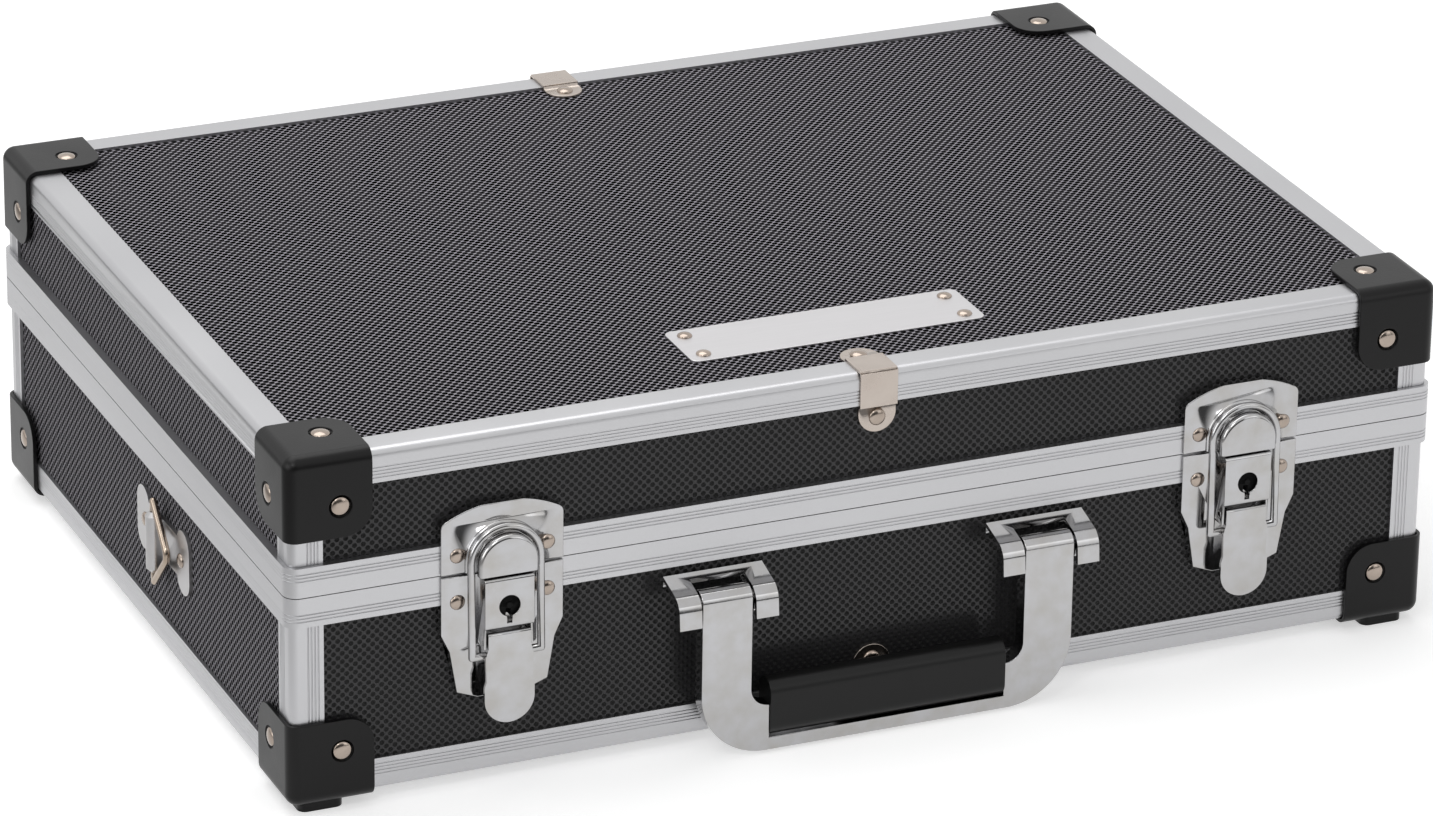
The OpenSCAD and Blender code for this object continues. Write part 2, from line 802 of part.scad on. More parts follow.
// Outline of the handle frame, drawn about x = 0, every wall moved in by inset
module handle_outline(inset) {
    outer = handle_w / 2 - inset;
    inner = handle_w / 2 - arm_w + inset;
    rail = handle_z0 + rail_h - inset;
    shelf = rail + shelf_h;
    difference() {
        union() {
            translate([-outer, handle_z0 + handle_r])
                square([outer * 2, hpin_z - handle_z0 - handle_r]);
            translate([-outer + handle_r - inset, handle_z0 + inset])
                square([(outer - handle_r + inset) * 2, handle_r]);
            for (s = SIDES) translate([s * (outer - handle_r + inset),
                                       handle_z0 + handle_r])
                circle(handle_r - inset, $fn = 96);
        }
        translate([-inner, shelf + arm_corner]) square([inner * 2, handle_drop]);
        translate([-grip_w / 2 - inset, rail])
            square([grip_w + 2 * inset, handle_drop]);
        for (s = SIDES) translate([s * grip_w / 2, shelf + arm_corner])
            circle(arm_corner + inset);
    }
}

handle_depth = 6.4;
grip_z0 = handle_z0 + rail_h;
rod_y = handle_y + 5.6;
rod_z = grip_z0 + 9.5;

module handle_frame() {
    color(chrome) {
        in_case() translate([case_w / 2, 0, 0]) difference() {
            union() {
                facing_front(handle_y + handle_depth) linear_extrude(handle_depth)
                    handle_outline(0);
                for (s = SIDES) rod_x(barrel_r * 2, s * arm_x - arm_w / 2,
                                      s * arm_x + arm_w / 2, hpin_y, hpin_z);
            }
            intersection() {
                facing_front(handle_y + handle_depth + 1) linear_extrude(
                    handle_depth + 1 - handle_t) handle_outline(handle_t);
                translate([-handle_w, handle_y - handle_w, handle_z0 - 10])
                    cube([handle_w * 2, handle_w * 2, handle_drop + 4.4]);
            }
            rod_x(handle_pin_d + 2 * axle_fit, -handle_w, handle_w, hpin_y, hpin_z);
        }
        in_case() translate([case_w / 2, 0, 0])
            rod_x(5, -grip_w / 2 - handle_t, grip_w / 2 + handle_t, rod_y, rod_z);
    }
}

module handle_grip() {
    color(mould) in_case() translate([case_w / 2, 0, 0]) difference() {
        rotate([90, 0, 90]) translate([handle_y - 1, grip_z0 + fit, -grip_w / 2 + fit])
            linear_extrude(grip_w - 2 * fit) round_rect(grip_d, grip_h, grip_r);
        rod_x(5 + 2 * fit, -grip_w, grip_w, rod_y, rod_z);
    }
}

// ---- strap brackets ---------------------------------------------------------

module at_side(right) {
    in_case() translate([right * case_w, strap_y, 0]) mirror([right, 0, 0]) children();
}

// Plate standing on a side wall: y along the case, z up, from a 2D drawing
module on_side(x) {
    translate([x, 0, 0]) rotate([90, 0, 90]) children();
}

module strap_bracket() {
    face = panel_in - fit - strap_t;
    half = tunnel_l / 2;
    difference() {
        union() {
            on_side(face) linear_extrude(strap_t) {
                for (s = SIDES) translate([s * (strap_pitch / 2 + lobe_out) - lobe_w / 2,
                                           strap_z - lobe_h / 2])
                    round_rect(lobe_w, lobe_h, lobe_w / 2 - eps);
                translate([-strap_pitch / 2, strap_z - 7]) square([strap_pitch, 15]);
            }
            // the sheet rolled out around the ring, its ends bevelled to clear it
            intersection() {
                translate([0, 0, strap_z - half]) linear_extrude(tunnel_l) {
                    translate([ring_x, -tunnel_d / 2])
                        square([face - ring_x + eps, tunnel_d]);
                    translate([ring_x, 0]) circle(d = tunnel_d);
                }
                translate([ring_x, 0, strap_z]) rotate_extrude() polygon(
                    [[0, half + 1.4], [half, 1.4], [half, -1.4], [0, -half - 1.4]]);
            }
        }
        translate([ring_x, 0, 0]) cylinder(d = ring_d + 2 * axle_fit, h = strap_z * 2);
    }
}

module strap_brackets() {
    color(nickel) for (right = [0, 1]) at_side(right) strap_bracket();
}

// Three-sided wire ring: one side upright in the bracket's roll, nose forward
module strap_ring(right) {
    color(nickel) at_side(right) translate([ring_x, 0, strap_z]) {
        translate([0, 0, -ring_side / 2]) cylinder(d = ring_d, h = ring_side);
        for (m = [0, 1]) mirror([0, 0, m]) translate([0, 0, ring_side / 2]) {
            sphere(d = ring_d);
            rotate([90 + ring_slope, 0, 0]) cylinder(d = ring_d, h = ring_leg + eps);
        }
        translate([0, -ring_reach, 0]) rotate([90, 0, 90])
            rotate([0, 0, 90 + ring_slope]) rotate_extrude(angle = 180 - 2 * ring_slope)
                translate([ring_bend, 0]) circle(d = ring_d);
    }
}

module strap_rivets() {
    for (right = [0, 1], s = SIDES) in_case()
        translate([right * case_w, strap_y + s * strap_pitch / 2, strap_z])
            mirror([right, 0, 0]) translate([panel_in - fit - strap_t, 0, 0])
                rotate([0, -90, 0]) rivet(small_rivet_d, 0);
}

// ---- hinges -----------------------------------------------------------------

module at_hinge(side) {
    in_case() translate([case_w / 2 + side * hinge_x, 0, hinge_z]) children();
}

// Leaf in side view, hanging below the pin: on the rim, then set in to the panel
module leaf_side(top) {
    rim_face = case_d + rim_proud;
    step = -rim_h - 0.3 - leaf_t;
    translate([rim_face, step]) square([leaf_t, top - step]);
    translate([case_d - panel_in + fit, step])
        square([rim_proud + panel_in - fit + leaf_t, leaf_t]);
    translate([case_d - panel_in + fit, -leaf_reach]) square([leaf_t, leaf_reach + step + eps]);
}

module hinge_slab(x0, x1) {
    translate([x0, 0, 0]) rotate([90, 0, 90]) linear_extrude(x1 - x0) children();
}

knuckle_w = hinge_w / 3;

module leaf(outer_knuckles) {
    relief = -knuckle_r - running;
    gap = running / 2;
    bands = [[-hinge_w / 2, -knuckle_w / 2 - gap], [knuckle_w / 2 + gap, hinge_w / 2]];
    middle = [[-knuckle_w / 2 + gap, knuckle_w / 2 - gap]];
    difference() {
        union() {
            hinge_slab(-hinge_w / 2, hinge_w / 2) leaf_side(relief);
            for (b = outer_knuckles ? bands : middle) {
                hinge_slab(b[0], b[1]) leaf_side(0);
                rod_x(knuckle_r * 2, b[0], b[1], hinge_y, 0);
            }
        }
        rod_x(hinge_pin_d + (outer_knuckles ? 0.04 : 2 * axle_fit),
              -hinge_w, hinge_w, hinge_y, 0);
    }
}

module hinge_base_leaves() {
    color(chrome) for (s = SIDES) at_hinge(s) leaf(true);
}

module hinge_lid_leaves() {
    color(chrome) for (s = SIDES) at_hinge(s) mirror([0, 0, 1]) leaf(false);
}

module hinge_rivets(up) {
    for (s = SIDES, m = SIDES, z = leaf_rows)
        rivet_rear(case_w / 2 + s * hinge_x + m * hinge_w / 3,
                   case_d - panel_in + fit + leaf_t,
                   hinge_z + (up ? z : -z), small_rivet_d, 0);
}

// Pins held in the base: lever pivots, handle pivots and hinge pins
module pivot_pins() {
    handle_half = window_w / 2 + 1.3;
    color(chrome) {
        for (s = SIDES) {
            at_latch(s) rod_x(pivot_d, -housing_w / 2, housing_w / 2, pivot_y, pivot_z);
            at_arm(s) rod_x(handle_pin_d, -handle_half, handle_half, hpin_y, hpin_z);
            at_hinge(s) rod_x(hinge_pin_d, -hinge_w / 2 - 0.6, hinge_w / 2 + 0.6,
                              hinge_y, 0);
        }
    }
}

// ---- rivets and plate -------------------------------------------------------

module base_rivets() {
    color(nickel) {
        in_case() {
            for (i = [0:3]) at_corner(i) protector_rivets(true);
            for_long_edges() clip_rivets();
            latch_rivets(-10.1);
            hinge_rivets(false);
        }
        strap_rivets();
    }
}

plate_z = case_h - panel_in + fit;

module blank_plate() {
    color(alu) in_case()
        translate([case_w / 2 - plate_l / 2, plate_y - plate_w / 2, plate_z])
            linear_extrude(plate_t) round_rect(plate_l, plate_w, 3);
}

module lid_rivets() {
    color(nickel) in_case() {
        upside_down() {
            for (i = [0:3]) at_corner(i) protector_rivets(false);
            for_long_edges() clip_rivets();
        }
        latch_rivets(7);
        hinge_rivets(true);
        for (s = SIDES, m = SIDES)
            translate([case_w / 2 + s * (plate_l / 2 - 6),
                       plate_y + m * (plate_w / 2 - 5.4), plate_z + plate_t])
                rivet(small_rivet_d, 0);
    }
}

// ---- inside -----------------------------------------------------------------

inset = edge_leg + 0.3;                   // soft linings, from the case's faces
pad_z = panel_in + panel_t + fit;
divider_z = pad_z + pad_t + fit;
divider_in = rim_in + 0.4;
cross_x = [cross_x_left, cross_x_right];

module base_pad() {
    color(lining) in_case() translate([inset, inset, pad_z])
        cube([case_w - 2 * inset, case_d - 2 * inset, pad_t]);
}

module divider_long() {
    slot = divider_t + 0.4;
    color(lining) in_case() difference() {
        translate([divider_in, divider_y - divider_t / 2, divider_z])
            cube([case_w - 2 * divider_in, divider_t, divider_h]);
        for (x = cross_x)
            translate([x - slot / 2, divider_y - 5, divider_z + divider_h / 2 - 0.2])
                cube([slot, 10, divider_h]);
    }
}

module divider_cross() {
    slot = divider_t + 0.4;
    color(lining) in_case() for (x = cross_x) difference() {
        translate([x - divider_t / 2, divider_in, divider_z])
            cube([divider_t, case_d - 2 * divider_in, divider_h]);
        translate([x - 5, divider_y - slot / 2, divider_z - 1])
            cube([10, slot, divider_h / 2 + 1.2]);
    }
}

module lid_foam() {
    top = case_h - panel_in - panel_t - fit;
    color(lining) in_case() translate([inset, inset, top - lid_foam_t])
        cube([case_w - 2 * inset, case_d - 2 * inset, lid_foam_t]);
}

// ---- nodes ------------------------------------------------------------------

level_panel(panel_in);  // base_bottom_panel
long_wall(0, slot_floor + fit, base_wall_top);  // base_front_panel
long_wall(1, slot_floor + fit, base_wall_top);  // base_rear_panel
short_wall(0, slot_floor + fit, base_wall_top);  // base_left_panel
short_wall(1, slot_floor + fit, base_wall_top);  // base_right_panel
base_edge() long_edge(0);  // base_front_edge
base_edge() long_edge(1);  // base_rear_edge
base_edge() short_edge(0);  // base_left_edge
base_edge() short_edge(1);  // base_right_edge
posts(edge_leg + fit, base_top - rim_h - fit);  // base_posts
base_rim();
base_protector(0);  // base_protector_front_left
base_protector(1);  // base_protector_front_right
base_protector(2);  // base_protector_rear_left
base_protector(3);  // base_protector_rear_right
base_clips();
base_rivets();
latch_plate(-1);  // latch_plate_left
latch_plate(1);  // latch_plate_right
lock_barrel(-1);  // lock_barrel_left
lock_barrel(1);  // lock_barrel_right
latch_lever(-1);  // latch_lever_left
latch_lever(1);  // latch_lever_right
latch_bail(-1);  // latch_bail_left
latch_bail(1);  // latch_bail_right
handle_bracket(-1);  // handle_bracket_left
handle_bracket(1);  // handle_bracket_right
handle_frame();
handle_grip();
strap_brackets();
strap_ring(0);  // strap_ring_left
strap_ring(1);  // strap_ring_right
hinge_base_leaves();
pivot_pins();
base_pad();
divider_long();
divider_cross();
level_panel(case_h - panel_in - panel_t);  // lid_top_panel
long_wall(0, lid_wall_bottom, lid_wall_top);  // lid_front_panel
long_wall(1, lid_wall_bottom, lid_wall_top);  // lid_rear_panel
short_wall(0, lid_wall_bottom, lid_wall_top);  // lid_left_panel
short_wall(1, lid_wall_bottom, lid_wall_top);  // lid_right_panel
lid_edge() long_edge(0);  // lid_front_edge
lid_edge() long_edge(1);  // lid_rear_edge
lid_edge() short_edge(0);  // lid_left_edge
lid_edge() short_edge(1);  // lid_right_edge
lid_posts();
lid_rim();
lid_protector(0);  // lid_protector_front_left
lid_protector(1);  // lid_protector_front_right
lid_protector(2);  // lid_protector_rear_left
lid_protector(3);  // lid_protector_rear_right
lid_clips();
lid_rivets();
latch_catch(-1);  // latch_catch_left
latch_catch(1);  // latch_catch_right
hinge_lid_leaves();
blank_plate();
lid_foam();
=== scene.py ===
# %% [markdown]
# # A hard tool case, dressed piece by piece
#
# The case is a box of board panels held in aluminium extrusions, with moulded
# corners, draw latches and a swing handle. Its engineering model comes in as a
# frame that never moves. Each cell below makes one finish or one set of pieces,
# and says what the real thing is and why it is made this way.

# %% The frame
import bpy
import bmesh
import json
import math
from mathutils import Matrix, Vector
from mathutils import noise as cloud_noise


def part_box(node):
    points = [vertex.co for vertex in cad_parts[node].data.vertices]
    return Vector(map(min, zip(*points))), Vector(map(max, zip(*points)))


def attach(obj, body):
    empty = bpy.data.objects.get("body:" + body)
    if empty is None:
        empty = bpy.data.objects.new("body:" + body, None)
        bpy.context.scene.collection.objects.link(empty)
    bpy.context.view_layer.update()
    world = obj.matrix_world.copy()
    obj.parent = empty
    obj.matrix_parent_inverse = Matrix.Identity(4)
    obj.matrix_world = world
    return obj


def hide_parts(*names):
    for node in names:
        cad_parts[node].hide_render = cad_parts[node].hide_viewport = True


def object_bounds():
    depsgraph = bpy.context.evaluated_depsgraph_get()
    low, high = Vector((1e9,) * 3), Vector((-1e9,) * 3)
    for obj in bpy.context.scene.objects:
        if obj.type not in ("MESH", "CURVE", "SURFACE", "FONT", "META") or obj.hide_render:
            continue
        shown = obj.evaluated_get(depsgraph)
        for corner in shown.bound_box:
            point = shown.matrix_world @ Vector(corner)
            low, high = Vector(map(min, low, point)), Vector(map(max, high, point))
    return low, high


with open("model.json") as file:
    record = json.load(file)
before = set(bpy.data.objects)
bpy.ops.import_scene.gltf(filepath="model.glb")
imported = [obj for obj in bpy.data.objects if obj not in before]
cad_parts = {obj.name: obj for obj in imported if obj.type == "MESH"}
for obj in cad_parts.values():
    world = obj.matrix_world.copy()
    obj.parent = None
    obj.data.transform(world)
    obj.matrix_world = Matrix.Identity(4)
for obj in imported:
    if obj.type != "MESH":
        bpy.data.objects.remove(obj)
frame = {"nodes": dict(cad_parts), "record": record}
case_lo, case_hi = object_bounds()
nodes = frame["nodes"]
record = frame["record"]
body_of = {n: body for body, held in record["behaviour"]["bodies"].items() for n in held}
slot_of = {s["node"]: s["material_slot"] for s in record["subparts"]}
MM = 0.001
X, Y, Z = 0, 1, 2
print("case box in mm:", [round(1000 * (b - a), 1) for a, b in zip(case_lo, case_hi)])

# %% [markdown]
# ## Placing a piece
#
# Every new piece stays at the origin, with its place in its mesh, as the nodes
# of the engineering model do. A piece that stands for a node rides on that
# node's body, and the node itself is hidden.

# %% Helpers for pieces


def placed(name, data):
    """A new object with its data, at the origin of the scene."""
    made = bpy.data.objects.new(name, data)
    bpy.context.collection.objects.link(made)
    return made


def stand_in(piece, name):
    """Lets a piece ride, and be seen, in the place of a node."""
    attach(piece, body_of[name])
    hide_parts(name)


print("bodies:", sorted(set(body_of.values())))

# %% [markdown]
# ## Camera
#
# A long lens, far away, keeps the case's edges almost parallel, so its shape
# reads true. The camera stands 23 degrees to the left of the front and looks
# down by 24 degrees. Its axes are written out, so its slight roll is kept too.

# %% Camera
cam_data = bpy.data.cameras.new("camera")
cam_data.sensor_width = 36
cam_data.lens = 180.15
cam_data.clip_end = 20
camera = placed("camera", cam_data)
camera_place = Vector((-0.93621, -2.17551, 1.08929))
right = Vector((0.92019, -0.39123, 0.01347)).normalized()
back = right.cross(Vector((0.14503, 0.37266, 0.91656)).normalized())
up = back.cross(right)
turn = Matrix((right, up, back)).transposed().to_4x4()
camera.matrix_world = Matrix.Translation(camera_place) @ turn
scene = bpy.context.scene
scene.camera = camera
print("camera is", round(camera_place.length, 2), "m from the case")

# %% [markdown]
# ## Writing node trees
#
# Light, materials and Geometry Nodes are all trees of nodes. A few helpers keep
# them readable: one adds a node and says what each of its inputs takes, and the
# others wrap the kinds of node that come back all the time.

# %% Helpers for node trees


def node(tree, kind, takes=None, **settings):
    """Adds a node. Each input named in takes gets a plain value, or a link
    where the value is another node's output."""
    made = tree.nodes.new(kind)
    for key, value in settings.items():
        setattr(made, key, value)
    for key, value in (takes or {}).items():
        if isinstance(value, bpy.types.NodeSocket):
            tree.links.new(value, made.inputs[key])
        else:
            made.inputs[key].default_value = value
    return made


def math_node(tree, operation, *values):
    """Works on one or two values, each a number or an output."""
    return node(tree, "ShaderNodeMath", dict(enumerate(values)), operation=operation).outputs[0]


def spread(tree, value, low, high, span=(0, 1), curve="LINEAR"):
    """Maps a value from a span to the range from low to high."""
    return node(tree, "ShaderNodeMapRange",
                {"Value": value, "From Min": span[0], "From Max": span[1],
                 "To Min": low, "To Max": high}, interpolation_type=curve).outputs["Result"]


def tint(tree, value, dark, light):
    """Mixes two colours by a value."""
    # 6 and 7 are the two colours and 2 is their mix; the names of these sockets
    # are also those of the sockets for numbers
    return node(tree, "ShaderNodeMix", {"Factor": value, 6: (*dark, 1), 7: (*light, 1)},
                data_type="RGBA").outputs[2]


def sees_white(tree, ray, mirrored):
    """1 for a ray that finds white: from the camera, off a mirror or through glass."""
    first = math_node(tree, "MAXIMUM", ray["Is Camera Ray"], mirrored)
    return math_node(tree, "MAXIMUM", first, ray["Is Transmission Ray"])


print("node helpers:", [f.__name__ for f in (node, math_node, spread, tint, sees_white)])

# %% [markdown]
# ## Room
#
# The case stands in a white room, as in a light tent. Camera, glossy and
# transmission rays all see a white world, so the chrome mirrors the same white
# room. Matt surfaces get only part of that white as light, so the lamps shape
# the case and the shadows stay soft.
#
# A room is never white all round: someone stands in front with a camera. So
# mirrored rays that leave low towards the front find it dark, which gives the
# chrome and the black plastic their deep tones.

# %% World
room_light = 0.36  # the part of the white that lights matt surfaces
front_low = (0, -1, -0.6)  # the way towards the low front
front_dark = 0.08  # the part of the white that is left there
front_span = (0.8, 0.3)  # how much a ray points that way, from dark to white

scene.view_settings.view_transform = "Standard"
world = bpy.data.worlds.new("white_room")
scene.world = world
world.use_nodes = True
room = world.node_tree
room.nodes.clear()
ray = node(room, "ShaderNodeLightPath").outputs
mirrored = ray["Is Glossy Ray"]
white = spread(room, sees_white(room, ray, mirrored), room_light, 1.0)
way = node(room, "ShaderNodeTexCoord").outputs["Generated"]
ahead = node(room, "ShaderNodeVectorMath", {0: way, 1: front_low}, operation="DOT_PRODUCT")
front = spread(room, ahead.outputs["Value"], front_dark, 1.0, front_span, "SMOOTHSTEP")
shade = math_node(room, "MAXIMUM", front, math_node(room, "SUBTRACT", 1.0, mirrored))
sky = node(room, "ShaderNodeBackground",
           {"Color": (1, 1, 1, 1), "Strength": math_node(room, "MULTIPLY", white, shade)})
node(room, "ShaderNodeOutputWorld", {0: sky.outputs[0]})
print("world:", world.name, "with", len(room.nodes), "nodes")

# %% [markdown]
# ## Lamps
#
# Most light falls from above, some comes from the left, and two weak lamps lift
# the front. Small lamps would give hard shadows and white specks on the chrome,
# so all four are large and soft.

# %% Lamps


def lamp(name, place, aim, size, power):
    """A rectangular soft lamp at a place, turned to face a point."""
    data = bpy.data.lights.new(name, "AREA")
    data.shape = "RECTANGLE"
    data.size, data.size_y = size
    data.energy = power
    made = placed(name, data)
    made.location = place
    made.rotation_mode = "QUATERNION"
    made.rotation_quaternion = (Vector(aim) - Vector(place)).to_track_quat("-Z", "Y")


aim_point = (0, 0, 0.05)
lamp("overhead", (-0.2, 0.4, 1.7), (0, 0, 0), size=(1.8, 1.4), power=15)
lamp("left", (-1.9, -0.5, 0.8), aim_point, size=(1.2, 1.0), power=6.5)
lamp("front_left_high", (-0.9, -1.2, 1.5), aim_point, size=(0.5, 0.5), power=4)
lamp("front_right", (1.0, -1.7, 0.7), aim_point, size=(0.9, 1.0), power=3)

# %% [markdown]
# ## Floor
#
# The floor is a white sheet. Stronger lamps would make it white but bleach the
# case as well, so a little glow is added to it for the eye alone. It reads as
# white paper, and the soft shadow under the case stays. The sheet ends on the
# left: what the case mirrors of it there is darker and has less glow.

# %% Floor
floor_half = 8
paper_white = 0.82
paper_dark = 0.4
paper_glow = 0.5
end_glow = 0.1  # the part of the glow that is left past the sheet's end
end_span = (-0.5, -0.2)  # where along X the mirrored sheet comes to its end

corners = [(-floor_half, -floor_half, 0), (floor_half, -floor_half, 0),
           (floor_half, floor_half, 0), (-floor_half, floor_half, 0)]
floor_mesh = bpy.data.meshes.new("floor")
floor_mesh.from_pydata(corners, [], [(0, 1, 2, 3)])
floor = placed("floor", floor_mesh)
paper = bpy.data.materials.new("white_paper")
paper.use_nodes = True
sheet = paper.node_tree
sheet.nodes.clear()
ray = node(sheet, "ShaderNodeLightPath").outputs
here = node(sheet, "ShaderNodeNewGeometry").outputs["Position"]
along_x = node(sheet, "ShaderNodeSeparateXYZ", {0: here}).outputs["X"]
mirrored = math_node(sheet, "MULTIPLY", ray["Is Glossy Ray"],
                     spread(sheet, along_x, end_glow, 1.0, end_span))
past_end = math_node(sheet, "SUBTRACT", ray["Is Glossy Ray"], mirrored)
matt = node(sheet, "ShaderNodeBsdfDiffuse",
            {"Color": spread(sheet, past_end, paper_white, paper_dark)})
power = math_node(sheet, "MULTIPLY", sees_white(sheet, ray, mirrored), paper_glow)
glow = node(sheet, "ShaderNodeEmission", {"Strength": power})
both = node(sheet, "ShaderNodeAddShader", {0: matt.outputs[0], 1: glow.outputs[0]})
node(sheet, "ShaderNodeOutputMaterial", {"Surface": both.outputs[0]})
floor_mesh.materials.append(paper)
print("floor:", floor.dimensions[:])

# %% [markdown]
# ## Finishes
#
# Image textures could be laid on the pieces, but they would show seams and have
# a size of their own. Every finish here is worked out from the object's own
# coordinates instead, so a pattern has its real size in millimetres, and noise
# runs on round every edge. One helper starts a material with its plain values,
# one makes noise, and one lays colour, roughness and relief on the shader.

# %% Helpers for finishes


def finish_material(name, colour, metallic, roughness):
    """A Principled material with its node tree ready for more."""
    mat = bpy.data.materials.new(name)
    mat.use_nodes = True
    tree = mat.node_tree
    shader = tree.nodes["Principled BSDF"]
    shader.inputs["Base Color"].default_value = (*colour, 1)
    shader.inputs["Metallic"].default_value = metallic
    shader.inputs["Roughness"].default_value = roughness
    return mat, tree, shader, node(tree, "ShaderNodeTexCoord").outputs["Object"]


def noise(tree, place, scale, detail, stretch=None):
    """Noise of a given scale per metre, stretched along an axis if asked."""
    if stretch:
        place = node(tree, "ShaderNodeMapping", {"Vector": place, "Scale": stretch}).outputs[0]
    return node(tree, "ShaderNodeTexNoise",
                {"Vector": place, "Scale": scale, "Detail": detail}).outputs[0]


def lay(tree, shader, colour, roughness, height, depth, strength):
    """Lays a colour, a roughness and the bump of a height on a shader.
    Without a roughness, the shader keeps its plain one."""
    bump = node(tree, "ShaderNodeBump",
                {"Height": height, "Distance": depth, "Strength": strength})
    tree.links.new(colour, shader.inputs["Base Color"])
    if roughness is not None:
        tree.links.new(roughness, shader.inputs["Roughness"])
    tree.links.new(bump.outputs[0], shader.inputs["Normal"])


print("finish helpers:", [f.__name__ for f in (finish_material, noise, lay)])

# %% [markdown]
# ### Embossed skin
#
# The panels wear a plastic film pressed with small round pits in staggered rows:
# 3.1 mm apart along a row, the next row 1.55 mm on and half a step across. Real
# dents would be many thousands of faces for what is less than half a millimetre
# deep, so the material draws them. Two square lattices, one shifted by half a
# step, give the pattern. For each the distance to the nearest pit is worked out,
# and the nearer one counts. A pit is deep and gets no light, so its shade is
# painted in: each pit is painted black. The flat net between shows its dark grey.
#
# The lattice lies in the panel's own plane, so there is one version for each
# direction. The film on the upright front and rear is smoother and darker, and
# mirrors a little of the room. On the level and side panels it is dull with use
# and its own shine is turned almost off; there the net is painted a lighter grey,
# lighter on the level panels than on the side ones, as painted sheen for the
# light the film mirrors at a slant.

# %% Embossed skin
pit_pitch = 0.0031  # in metres
pit_depth = 0.4 * MM
pit_bowl = (0.02, 0.27)  # the bowl's wall, in pitches from the middle of a pit
pit_painted_shade = (0.001, 0.001, 0.001)


def embossed_skin(name, across, along, net_grey_and_sheen, gloss, rough, edge):
    """The pitted film in one plane. rough is for the net and for the pits.
    edge, in pitches, is where the painted black shade of a pit ends."""
    mat, tree, shader, place = finish_material(name, net_grey_and_sheen, metallic=0, roughness=rough[0])
    shader.inputs["Specular IOR Level"].default_value = gloss
    split = node(tree, "ShaderNodeSeparateXYZ", {0: place}).outputs
    steps = [math_node(tree, "MULTIPLY", split[i], 1 / pit_pitch) for i in (across, along)]
    far = []
    for shift in (0.0, 0.5):
        offs = [math_node(tree, "PINGPONG", math_node(tree, "ADD", s, shift), 0.5)
                for s in steps]
        squares = [math_node(tree, "POWER", off, 2.0) for off in offs]
        far.append(math_node(tree, "SQRT", math_node(tree, "ADD", *squares)))
    nearest = math_node(tree, "MINIMUM", *far)
    net = spread(tree, nearest, 0, 1, edge)
    wear = spread(tree, noise(tree, place, scale=30, detail=4), -0.04, 0.04)
    # each pit is painted black, as painted shade in the deep pit
    lay(tree, shader, tint(tree, net, pit_painted_shade, net_grey_and_sheen),
        math_node(tree, "ADD", spread(tree, net, rough[1], rough[0]), wear),
        spread(tree, nearest, 0, 1, pit_bowl), depth=pit_depth, strength=1.0)
    return mat


dull, smooth = (0.45, 0.95), (0.22, 0.8)
# the lighter net greys of the level and side skins are painted sheen; the front net keeps the
# film's own dark grey
skin_level = embossed_skin("embossed_skin_level", X, Y, (0.375, 0.358, 0.395),
                           gloss=0.02, rough=dull, edge=(0.31, 0.36))
skin_front = embossed_skin("embossed_skin_front", X, Z, (0.022, 0.021, 0.023),
                           gloss=0.38, rough=smooth, edge=(0.27, 0.32))
skin_side = embossed_skin("embossed_skin_side", Y, Z, (0.205, 0.197, 0.214),
                          gloss=0.02, rough=dull, edge=(0.26, 0.31))
print("skins:", [m.name for m in (skin_level, skin_front, skin_side)])

# %% [markdown]
# ### Metals
#
# The extrusions are satin aluminium, a little uneven where hands have rubbed
# them. Latches and handle are chromed: almost a mirror, with smudges, faint
# stains and a slight wave in the thin sheet. Clips, rivets, rings and brackets
# have a nickel coat, some of it yellowed. The name plate is brushed lengthwise,
# which is noise stretched into lines. An even roughness would look like plastic,
# so on each metal it wanders with the noise.

# %% Metals


def satin_aluminium():
    """Aluminium with a fine grain and broad, faint clouds."""
    mat, tree, shader, place = finish_material(
        "satin_aluminium", (0.56, 0.56, 0.57), metallic=1, roughness=0.38)
    cloud = noise(tree, place, scale=14, detail=3)
    fine = noise(tree, place, scale=900, detail=2)
    lay(tree, shader, tint(tree, cloud, (0.475, 0.475, 0.49), (0.545, 0.545, 0.555)),
        math_node(tree, "ADD", spread(tree, cloud, 0.30, 0.42), spread(tree, fine, -0.03, 0.03)),
        fine, depth=0.02 * MM, strength=0.3)
    return mat


def bright_chrome():
    """Chrome on thin sheet, with smudges, faint stains and a slight wave."""
    mat, tree, shader, place = finish_material(
        "bright_chrome", (0.52, 0.52, 0.53), metallic=1, roughness=0.1)
    smudge = noise(tree, place, scale=60, detail=5)
    stain = spread(tree, noise(tree, place, scale=130, detail=6), 0, 1, (0.35, 0.72))
    wave = noise(tree, place, scale=90, detail=1)
    lay(tree, shader, tint(tree, stain, (0.45, 0.45, 0.46), (0.40, 0.39, 0.378)),
        spread(tree, smudge, 0.05, 0.22, (0.35, 0.75)), wave, depth=0.2 * MM, strength=0.12)
    return mat


def warm_nickel(name, dark, light, rough):
    """A nickel coat with clouds in its colour and in its shine."""
    mat, tree, shader, place = finish_material(name, light, metallic=1, roughness=rough)
    cloud = noise(tree, place, scale=120, detail=4)
    dents = noise(tree, place, scale=400, detail=2)
    lay(tree, shader, tint(tree, cloud, dark, light), spread(tree, cloud, rough, rough + 0.16),
        dents, depth=0.05 * MM, strength=0.3)
    return mat


def brushed_sheet():
    """Sheet metal with brush lines along X."""
    mat, tree, shader, place = finish_material(
        "brushed_sheet", (0.72, 0.71, 0.72), metallic=1, roughness=0.34)
    lines = noise(tree, place, scale=60, detail=4, stretch=(1, 30, 1))
    lay(tree, shader, tint(tree, lines, (0.575, 0.565, 0.575), (0.655, 0.645, 0.655)),
        spread(tree, lines, 0.28, 0.42), lines, depth=0.04 * MM, strength=0.4)
    return mat


